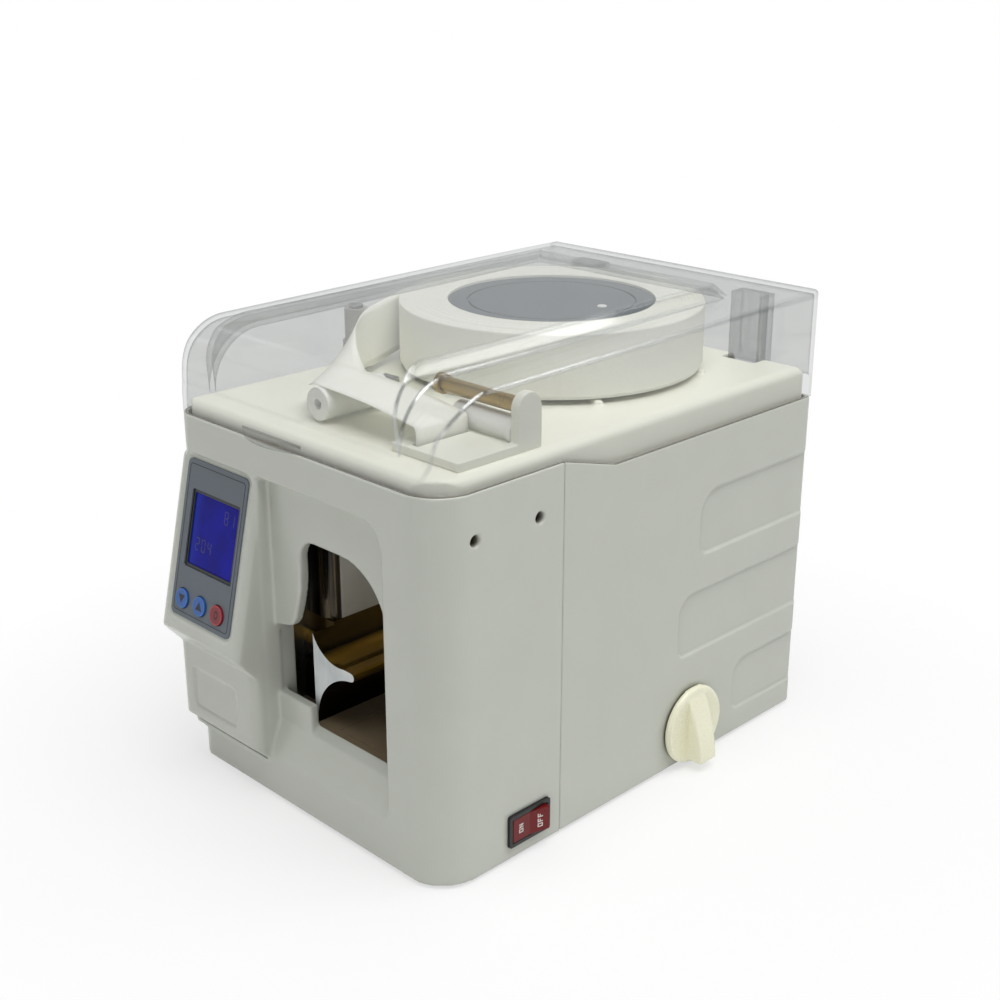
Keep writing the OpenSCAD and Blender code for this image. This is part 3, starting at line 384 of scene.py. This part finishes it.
# Display: blue backlit glass with faint dark seven-bar figures in it, two at the top right and
# three at the bottom left, and a paler glow along its left side.
mat, nodes, links, skin = blank_finish("display_blue")
place = nodes.new("ShaderNodeTexCoord")
spot = nodes.new("ShaderNodeSeparateXYZ")
links.new(place.outputs["Object"], spot.inputs["Vector"])
side_glow = spread(nodes, links, spot.outputs["X"], 1, 0, -0.10525, -0.09325)
deep = two_tone(nodes, links, cloudy(nodes, links, 0.02, 2), tint(14, 14, 112), tint(18, 18, 134))
glow = nodes.new("ShaderNodeMix")
glow.data_type = "RGBA"
links.new(side_glow, glow.inputs["Factor"])
links.new(deep, glow.inputs["A"])
glow.inputs["B"].default_value = tint(24, 44, 146)
links.new(glow.outputs["Result"], skin.inputs["Base Color"])
links.new(glow.outputs["Result"], skin.inputs["Emission Color"])
skin.inputs["Emission Strength"].default_value = 0.3
skin.inputs["Specular IOR Level"].default_value = 0.08
skin.inputs["Roughness"].default_value = 0.14
dress(mat, "lcd_glass")
figure_blue = moulded("figure_blue", (26, 22, 112), 0.2, 0.001, 0.02, 0.1, 0)
bar_wide, bar_tall, bar_thin = 2.8, 3.1, 0.6
bar_places = {"a": (0.5, 0, bar_wide, bar_thin), "g": (0.5, -3.7, bar_wide, bar_thin),
              "d": (0.5, -7.4, bar_wide, bar_thin), "f": (0, -0.5, bar_thin, bar_tall),
              "b": (3.2, -0.5, bar_thin, bar_tall), "e": (0, -4.2, bar_thin, bar_tall),
              "c": (3.2, -4.2, bar_thin, bar_tall)}
bars = []
for left, top, lit in ((-63, -24, "abcdefg"), (-57, -24, "bc"),
                       (-88, -46, "abged"), (-82, -46, "abcdef"), (-76, -46, "fgbc")):
    for bar, (dx, dz, w, h) in bar_places.items():
        if bar in lit:
            x, z = left + dx, top + dz
            bars.append([(x, z - h), (x + w, z - h), (x + w, z), (x, z)])
printed("display_figures", bars, 2.14, 0.05, figure_blue)

# Keys: two blue keys with black down and up signs and one red key with a zero, each a domed
# cap of silicone with a pale rim, set in the overlay's round holes.


def ink_ring(count, outer, inner, wide=1, tall=1):
    """A round or oval line of ink as four-cornered pieces."""
    pieces = []
    for i in range(count):
        a, b = math.tau * i / count, math.tau * (i + 1) / count
        pieces.append([(wide * r * math.cos(t), tall * r * math.sin(t))
                       for r, t in ((outer, a), (outer, b), (inner, b), (inner, a))])
    return pieces


key_finishes = {"key_down": moulded("key_blue_silicone", (38, 94, 172), 0.32, 0.0008, 0.03),
                "key_up": bpy.data.materials["key_blue_silicone"],
                "key_clear": moulded("key_red_silicone", (130, 22, 34), 0.36, 0.0008, 0.03)}
sign_black = moulded("sign_black_ink", (16, 18, 24), 0.45, 0.0006, 0.04, 0.05, 0)
rim_blue = moulded("rim_pale_blue", (60, 114, 186), 0.4, 0.0006, 0.04, 0.03, 0)
rim_red = moulded("rim_pale_red", (176, 54, 66), 0.4, 0.0006, 0.04, 0.03, 0)
wedge = [(-3, 2.4), (0, -3), (3, 2.4)]
key_signs = {"key_down": [wedge], "key_up": [[(a, -b) for a, b in wedge][::-1]],
             "key_clear": ink_ring(24, 1.2, 0.72, 1.5, 2.3)}
key_rim = ink_ring(40, 5.95, 5.2)
key_row = -85.5
for (key, finish), x in zip(key_finishes.items(), (-91.5, -73.5, -56)):
    dress(finish, key)
    sign, rim = [[[(x + a, key_row + b) for a, b in shape] for shape in shapes]
                 for shapes in (key_signs[key], key_rim)]
    printed(key + "_sign", sign, -0.78, 0.1, sign_black, key)
    printed(key + "_rim", rim, -0.76, 0.08, rim_red if key == "key_clear" else rim_blue, key)

# Power switch and mains inlet: black plastic housings set in the casing's cut-outs. The rocker is
# deep red, with its two white marks.
dress(moulded("switch_black", (22, 22, 23), 0.4), "switch_housing", "power_inlet")
dress(moulded("rocker_red", (112, 14, 16), 0.3, 0.001, 0.03, 0.04, 0.0008, 0.3), "rocker")


def rocker_face(y):
    """Height of the rocker's two slopes, in millimetres."""
    return 2.9 + abs(y) * 1.7 / 13.3


def rocker_word(name, strokes, middle):
    """White letters on one slope of the rocker, read from its front end upwards."""
    rocker_pivot = Matrix.Translation((0.10625, -0.085995, 0.0202))
    turn = rocker_pivot @ Matrix.Rotation(math.radians(-7), 4, "Z")
    work = bmesh.new()
    for x0, y0, x1, y1 in strokes:
        corners = []
        for lift in (-0.02, 0.1):
            for up, along in ((x0, y0), (x1, y0), (x1, y1), (x0, y1)):
                y = middle + along
                corners.append(work.verts.new(turn @ (Vector((rocker_face(y) + lift, y, up)) / 1000)))
        for quad in ((7, 6, 5, 4), (0, 1, 2, 3), (0, 4, 5, 1), (1, 5, 6, 2), (2, 6, 7, 3), (3, 7, 4, 0)):
            work.faces.new([corners[k] for k in quad])
    bmesh.ops.recalc_face_normals(work, faces=work.faces)
    mesh = bpy.data.meshes.new(name)
    work.to_mesh(mesh)
    work.free()
    mesh.materials.append(letter_white)
    word = bpy.data.objects.new(name, mesh)
    bpy.context.scene.collection.objects.link(word)
    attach(word, "rocker")


letter_white = moulded("letter_white_ink", (226, 222, 218), 0.45, 0.0006, 0.04, 0.03, 0)
letters = {"O": ((0, 0, 0.6, 3.4), (1.8, 0, 2.4, 3.4), (0.6, 0, 1.8, 0.6), (0.6, 2.8, 1.8, 3.4)),
           "N": ((0, 0, 0.6, 3.4), (1.8, 0, 2.4, 3.4),
                 (0.6, 2.0, 1.0, 3.0), (1.0, 1.2, 1.4, 2.2), (1.4, 0.4, 1.8, 1.4)),
           "F": ((0, 0, 0.6, 3.4), (0.6, 2.8, 2.4, 3.4), (0.6, 1.5, 2.0, 2.1))}
letter_step, letter_mid = 3.2, 1.7
for name, word, middle in (("rocker_on_mark", "ON", -7), ("rocker_off_mark", "OFF", 7)):
    strokes = []
    for i, letter in enumerate(word):
        shift = (i - len(word) / 2) * letter_step + 0.4
        strokes += [(x0 + shift, letter_mid - y1, x1 + shift, letter_mid - y0)
                    for x0, y0, x1, y1 in letters[letter]]
    rocker_word(name, strokes, middle)

# Deck: cream-white moulded plate under the lid, held by the casing screws in its lugs. It carries
# the reel, the posts and the feed block, which is moulded in a like plastic.
deck_cream = moulded("deck_cream_abs", (252, 252, 238), 0.33, 0.0006, 0, 0.012, 0)
soft_edged("top_deck", "deck_plate", 0.0010, 1, 0.25, deck_cream)
feed_cream = moulded("feed_cream", (238, 238, 226), 0.35, 0.0006, 0, 0.012, 0)
soft_edged("feed_block", "feed_bracket", 0.0007, 4, 0.4, feed_cream)

# Reel, rollers and posts: white and grey moulded wheels that turn on bright steel pins, and the
# brass rod above the feed roller.
wheel_white = moulded("wheel_white", (248, 248, 243), 0.35, 0.0008, 0.015, 0.015)
dress(wheel_white, "reel_disc", "tube_roller", "feed_roller")
dress(moulded("hub_grey", (120, 126, 130), 0.62, 0.0016, 0.03, 0.06, 0.0008, 0.3), "reel_hub")
dress(moulded("post_grey", (176, 176, 172), 0.4, 0.0012, 0.04), "guide_post")
dress(turned_metal("pin_steel", (176, 177, 178), 0.24), "guide_pin", "tube_pin", "feed_pin")
dress(turned_metal("rod_brass", (176, 152, 96), 0.34, (60, 1, 1), 0.02, 0.04), "brass_rod")

# Sight plug: a small white button pressed into the hub's top, which shows at a glance that the
# reel turns. It is a domed disc with a rounded rim.
plug_at = Vector((0.01695, 0.071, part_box("reel_hub")[1][2]))
dome = [(0.0031, -0.0008), (0.0031, 0.0003), (0.0028, 0.0006), (0.002, 0.0008), (0.001, 0.0009)]
plug_sides = 32
plug_round = [math.tau * i / plug_sides for i in range(plug_sides)]
work = bmesh.new()
circles = [[work.verts.new(plug_at + Vector((r * math.cos(a), r * math.sin(a), z))) for a in plug_round]
           for r, z in dome]
for lower, upper in zip(circles, circles[1:]):
    for i in range(plug_sides):
        j = (i + 1) % plug_sides
        work.faces.new((lower[i], lower[j], upper[j], upper[i]))
work.faces.new(circles[-1])
work.faces.new(circles[0][::-1])
mesh = bpy.data.meshes.new("sight_plug")
work.to_mesh(mesh)
work.free()
mesh.shade_smooth()
mesh.materials.append(moulded("plug_white", (240, 240, 236), 0.4, 0.0008, 0.02, 0.02, 0))
sight_plug = bpy.data.objects.new("sight_plug", mesh)
bpy.context.scene.collection.objects.link(sight_plug)
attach(sight_plug, "reel")

# Paper roll: some hundreds of turns of white tape wound on the hub, so its end face shows
# faint rings where the turns stand a little proud of each other.


def tape_paper(name):
    mat, nodes, links, skin = blank_finish(name)
    fibre = cloudy(nodes, links, 0.0016, 6)
    colour = two_tone(nodes, links, fibre, tint(248, 248, 238), tint(253, 253, 246))
    links.new(colour, skin.inputs["Base Color"])
    links.new(spread(nodes, links, fibre, 0.62, 0.78), skin.inputs["Roughness"])
    bump = nodes.new("ShaderNodeBump")
    bump.inputs["Strength"].default_value = 0.03
    bump.inputs["Distance"].default_value = 0.0002
    links.new(fibre, bump.inputs["Height"])
    links.new(bump.outputs["Normal"], skin.inputs["Normal"])
    return mat


paper = tape_paper("tape_paper")
roll_low, roll_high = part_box("paper_roll")
roll_mid = (Vector(roll_low) + Vector(roll_high)) / 2
roll_out = (roll_high[0] - roll_low[0]) / 2
roll_bore = 0.066
ring_step, ring_round, ring_depth = 0.0009, 0.00012, 0.0003
chance = random.Random(7)
rings = [(roll_bore, 0.0)]
while rings[-1][0] < roll_out - 0.0012:
    rings.append((rings[-1][0] + ring_step, chance.uniform(-0.00028, 0.0)))
profile = [(rings[0][0], roll_low[2] + 0.0002)]
for (r, drop), (r_next, _) in zip(rings, rings[1:] + [(roll_out - 0.0002, 0)]):
    profile += [(r + ring_round, roll_high[2] + drop), (r_next - ring_round, roll_high[2] + drop),
                (r_next, roll_high[2] + drop - ring_depth)]
profile += [(roll_out, roll_high[2] - 0.0008), (roll_out, roll_low[2] + 0.0006),
            (roll_out - 0.0006, roll_low[2])]
work = bmesh.new()
roll_sides = 160
loops = []
for i in range(roll_sides):
    a = math.tau * i / roll_sides
    loops.append([work.verts.new((roll_mid.x + r * math.cos(a), roll_mid.y + r * math.sin(a), z))
                  for r, z in profile])
for i in range(roll_sides):
    here, there = loops[i], loops[(i + 1) % roll_sides]
    for k in range(len(profile)):
        m = (k + 1) % len(profile)
        work.faces.new((here[k], there[k], there[m], here[m]))
bmesh.ops.recalc_face_normals(work, faces=work.faces)
mesh = bpy.data.meshes.new("wound_roll")
work.to_mesh(mesh)
work.free()
mesh.shade_smooth()
mesh.set_sharp_from_angle(angle=math.radians(35))
mesh.materials.append(paper)
wound_roll = bpy.data.objects.new("wound_roll", mesh)
bpy.context.scene.collection.objects.link(wound_roll)
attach(wound_roll, "reel")
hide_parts("paper_roll")

# Paper tape: one flat strip that leaves the roll, passes beside the grey post, twists flat over
# the white tube roller and runs into the slot of the feed block.
tape_wide = 38
reel_x, reel_y, reel_tape_z = -10, 52, 262
roll_tape_r, leave_r, held_turn = 97.4, 97.7, 0.25
post_x, post_y = -72, -45
bow_x, bow_y = -60, -99
tube_x, tube_y, tube_top = -20, -113, 258.9


def tape_cross(t):
    """Middle and half-width of the twisting stretch, in millimetres of the machine."""
    mid = Vector(((1 - t) ** 2 * post_x + 2 * t * (1 - t) * bow_x + t * t * tube_x,
                  (1 - t) ** 2 * post_y + 2 * t * (1 - t) * bow_y + t * t * tube_y,
                  reel_tape_z + (tube_top - reel_tape_z) * t))
    turn = math.radians(90 * t)
    half = tape_wide / 2 * Vector((math.sin(turn) * 0.3 * (1 - t), math.sin(turn), math.cos(turn)))
    return mid, half


reach = (post_x - reel_x, post_y - reel_y)
leave = math.atan2(reach[1], reach[0]) - math.acos(leave_r / math.hypot(*reach))
upright, level = Vector((0, 0, tape_wide / 2)), Vector((0, tape_wide / 2, 0))
strip = []
for i in range(7):
    a = leave + held_turn * (1 - i / 6)
    on_roll = (reel_x + roll_tape_r * math.cos(a), reel_y + roll_tape_r * math.sin(a), reel_tape_z)
    strip.append((Vector(on_roll), upright))
strip += [tape_cross(i / 40) for i in range(41)]
strip += [(Vector((tube_x + x, tube_y, tube_top - (x / 9) ** 2 * 0.075)), level) for x in range(3, 73, 3)]
strip += [(Vector((x, tube_y, z)), level)
          for x, z in ((64, 252.4), (65.2, 249.9), (65.5, 244), (65.5, 232))]
work = bmesh.new()
across = 8
grid = []
for mid, half in strip:
    grid.append([work.verts.new((mid + half * (2 * k / across - 1) + row_shift) / 1000)
                 for k in range(across + 1)])
for a, b in zip(grid, grid[1:]):
    for k in range(across):
        work.faces.new((a[k], a[k + 1], b[k + 1], b[k]))
mesh = bpy.data.meshes.new("running_tape")
work.to_mesh(mesh)
work.free()
mesh.shade_smooth()
mesh.materials.append(paper)
running_tape = bpy.data.objects.new("running_tape", mesh)
bpy.context.scene.collection.objects.link(running_tape)
thick = running_tape.modifiers.new("paper_thickness", "SOLIDIFY")
thick.thickness = 0.00016
thick.offset = 0
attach(running_tape, "base")
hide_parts("paper_tape")

# Lid: one vacuum-formed shell of clear acrylic about 2.4 mm thick, a little grey in its body, with
# a raised panel and a finger tab. It turns on two channel posts at the back.


def clear_acrylic(name, body, rim, mirror):
    """Clear sheet: a little grey in its body, greyer along its bends, with a weak mirror shine."""
    mat, nodes, links, skin = blank_finish(name)
    bend = nodes.new("ShaderNodeBevel")
    bend.samples = 6
    bend.inputs["Radius"].default_value = 0.0035
    flat = nodes.new("ShaderNodeNewGeometry")
    turn = nodes.new("ShaderNodeVectorMath")
    turn.operation = "DOT_PRODUCT"
    links.new(bend.outputs["Normal"], turn.inputs[0])
    links.new(flat.outputs["Normal"], turn.inputs[1])
    place = nodes.new("ShaderNodeTexCoord")
    spot = nodes.new("ShaderNodeSeparateXYZ")
    links.new(place.outputs["Object"], spot.inputs["Vector"])
    soften = nodes.new("ShaderNodeMath")
    soften.operation = "MULTIPLY"
    links.new(spread(nodes, links, turn.outputs["Value"], 1, 0, 0.92, 0.997), soften.inputs[0])
    links.new(spread(nodes, links, spot.outputs["Z"], 0.22, 1, 0.239, 0.245), soften.inputs[1])
    bent = soften.outputs["Value"]
    steep = nodes.new("ShaderNodeLayerWeight")
    steep.inputs["Blend"].default_value = 0.35
    links.new(bend.outputs["Normal"], steep.inputs["Normal"])
    dense = nodes.new("ShaderNodeMath")
    dense.operation = "MAXIMUM"
    links.new(bent, dense.inputs[0])
    links.new(spread(nodes, links, steep.outputs["Facing"], 0, 0.8, 0.6, 1.0), dense.inputs[1])
    through = nodes.new("ShaderNodeBsdfTransparent")
    sheet_tint = two_tone(nodes, links, dense.outputs["Value"], body + (1,), rim + (1,), 0, 1)
    links.new(sheet_tint, through.inputs["Color"])
    glance = nodes.new("ShaderNodeLayerWeight")
    glance.inputs["Blend"].default_value = 0.5
    links.new(bend.outputs["Normal"], glance.inputs["Normal"])
    rise = nodes.new("ShaderNodeMath")
    rise.operation = "POWER"
    rise.inputs[1].default_value = 5
    links.new(glance.outputs["Facing"], rise.inputs[0])
    shine = nodes.new("ShaderNodeMath")
    shine.operation = "MAXIMUM"
    links.new(spread(nodes, links, rise.outputs["Value"], 0.045, mirror, 0, 1), shine.inputs[0])
    links.new(spread(nodes, links, bent, 0, 0.3, 0, 1), shine.inputs[1])
    links.new(bend.outputs["Normal"], skin.inputs["Normal"])
    skin.inputs["Base Color"].default_value = (0.96, 0.97, 0.97, 1)
    skin.inputs["Metallic"].default_value = 1
    links.new(spread(nodes, links, cloudy(nodes, links, 0.05), 0.03, 0.08), skin.inputs["Roughness"])
    face = nodes.new("ShaderNodeMixShader")
    links.new(shine.outputs["Value"], face.inputs["Fac"])
    links.new(through.outputs["BSDF"], face.inputs[1])
    links.new(skin.outputs["BSDF"], face.inputs[2])
    shade = nodes.new("ShaderNodeBsdfTransparent")
    shade.inputs["Color"].default_value = (0.985, 0.985, 0.985, 1)
    path = nodes.new("ShaderNodeLightPath")
    either = nodes.new("ShaderNodeMixShader")
    out = next(n for n in nodes if n.type == "OUTPUT_MATERIAL")
    links.new(path.outputs["Is Shadow Ray"], either.inputs["Fac"])
    links.new(face.outputs["Shader"], either.inputs[1])
    links.new(shade.outputs["BSDF"], either.inputs[2])
    links.new(either.outputs["Shader"], out.inputs["Surface"])
    return mat


dress(clear_acrylic("lid_clear_acrylic", (0.87, 0.874, 0.872), (0.58, 0.59, 0.6), 0.3), "lid")
dress(clear_acrylic("post_clear_acrylic", (0.80, 0.803, 0.80), (0.6, 0.61, 0.62), 0.2), "lid_arms")

# Studio: a plain pale floor that runs up into a white wall, a wide soft light above, weaker ones
# from the right, the left, the back and the front, and the camera where the photograph was taken.
work = bmesh.new()
wall_start, wall_bend = 2.2, 1
section = [(-6, 0), (wall_start, 0)]
for a in range(15, 91, 15):
    rise = math.radians(a)
    section.append((wall_start + wall_bend * math.sin(rise), wall_bend - wall_bend * math.cos(rise)))
section.append((wall_start + wall_bend, 6))
sweep = []
for x in (-7, 7):
    sweep.append([work.verts.new((x, y, z)) for y, z in section])
for k in range(len(section) - 1):
    work.faces.new((sweep[0][k], sweep[1][k], sweep[1][k + 1], sweep[0][k + 1]))
mesh = bpy.data.meshes.new("studio_floor")
work.to_mesh(mesh)
work.free()
mesh.shade_smooth()
studio_floor = bpy.data.objects.new("studio_floor", mesh)
bpy.context.scene.collection.objects.link(studio_floor)
studio_floor.rotation_euler = (0, 0, math.radians(45))
mat, nodes, links, skin = blank_finish("studio_white")
links.new(two_tone(nodes, links, cloudy(nodes, links, 0.8), tint(240, 240, 239), tint(244, 244, 243)),
          skin.inputs["Base Color"])
skin.inputs["Roughness"].default_value = 0.9
skin.inputs["Specular IOR Level"].default_value = 0.1
where = nodes.new("ShaderNodeTexCoord")
apart = nodes.new("ShaderNodeVectorMath")
apart.operation = "LENGTH"
links.new(where.outputs["Object"], apart.inputs[0])
fade = spread(nodes, links, apart.outputs["Value"], 0.6, 1.0, 0.15, 0.42)
path = nodes.new("ShaderNodeLightPath")
shown = nodes.new("ShaderNodeMath")
shown.operation = "ADD"
links.new(path.outputs["Is Camera Ray"], shown.inputs[0])
links.new(path.outputs["Is Glossy Ray"], shown.inputs[1])
shown_too = nodes.new("ShaderNodeMath")
shown_too.operation = "ADD"
shown_too.use_clamp = True
links.new(shown.outputs["Value"], shown_too.inputs[0])
links.new(path.outputs["Is Transmission Ray"], shown_too.inputs[1])
both = nodes.new("ShaderNodeMath")
both.operation = "MULTIPLY"
links.new(fade, both.inputs[0])
links.new(shown_too.outputs["Value"], both.inputs[1])
white = nodes.new("ShaderNodeEmission")
white.inputs["Color"].default_value = (1, 1, 1, 1)
white.inputs["Strength"].default_value = 1
either = nodes.new("ShaderNodeMixShader")
out = next(n for n in nodes if n.type == "OUTPUT_MATERIAL")
links.new(both.outputs["Value"], either.inputs["Fac"])
links.new(skin.outputs["BSDF"], either.inputs[1])
links.new(white.outputs["Emission"], either.inputs[2])
links.new(either.outputs["Shader"], out.inputs["Surface"])
mesh.materials.append(mat)

for name, spot, aim, size, power in (
        ("overhead_softbox", (0.42, -0.06, 1.7), (0, 0, 0.15), 1.3, 24.5),
        ("right_softbox", (1.7, 0.5, 0.9), (0, 0, 0.15), 1.2, 1.4),
        ("left_fill", (-1.3, -1.1, 0.8), (0, 0, 0.15), 1.2, 4.3),
        ("back_softbox", (1.0, 1.32, 1.43), (0, 0, 0.27), 0.55, 5),
        ("front_fill", (0.6, -1.25, 0.4), (0, -0.1, 0.12), 0.5, 1.8)):
    lamp = bpy.data.lights.new(name, "AREA")
    lamp.size = size
    lamp.energy = power
    holder = bpy.data.objects.new(name, lamp)
    holder.location = spot
    holder.rotation_euler = (Vector(aim) - Vector(spot)).to_track_quat("-Z", "Y").to_euler()
    bpy.context.scene.collection.objects.link(holder)
world = bpy.data.worlds.new("studio_air")
bpy.context.scene.world = world
world.use_nodes = True
nodes, links = world.node_tree.nodes, world.node_tree.links
air = nodes["Background"]
air.inputs["Color"].default_value = (0.97, 0.98, 1, 1)
path = nodes.new("ShaderNodeLightPath")
seen = nodes.new("ShaderNodeMath")
seen.operation = "MAXIMUM"
links.new(path.outputs["Is Camera Ray"], seen.inputs[0])
links.new(path.outputs["Is Transmission Ray"], seen.inputs[1])
links.new(spread(nodes, links, seen.outputs["Value"], 0.15, 1, 0, 1), air.inputs["Strength"])

view = bpy.data.cameras.new("photo_view")
view.sensor_width = 36
view.lens = 54.18
photo_camera = bpy.data.objects.new("photo_view", view)
photo_camera.location = (0.62495, -0.6240, 0.4975)
look_down, look_round = 20.53, 45.13
photo_camera.rotation_euler = (math.radians(90 - look_down), 0, math.radians(look_round))
bpy.context.scene.collection.objects.link(photo_camera)
bpy.context.scene.camera = photo_camera
bpy.context.scene.view_settings.view_transform = "Standard"
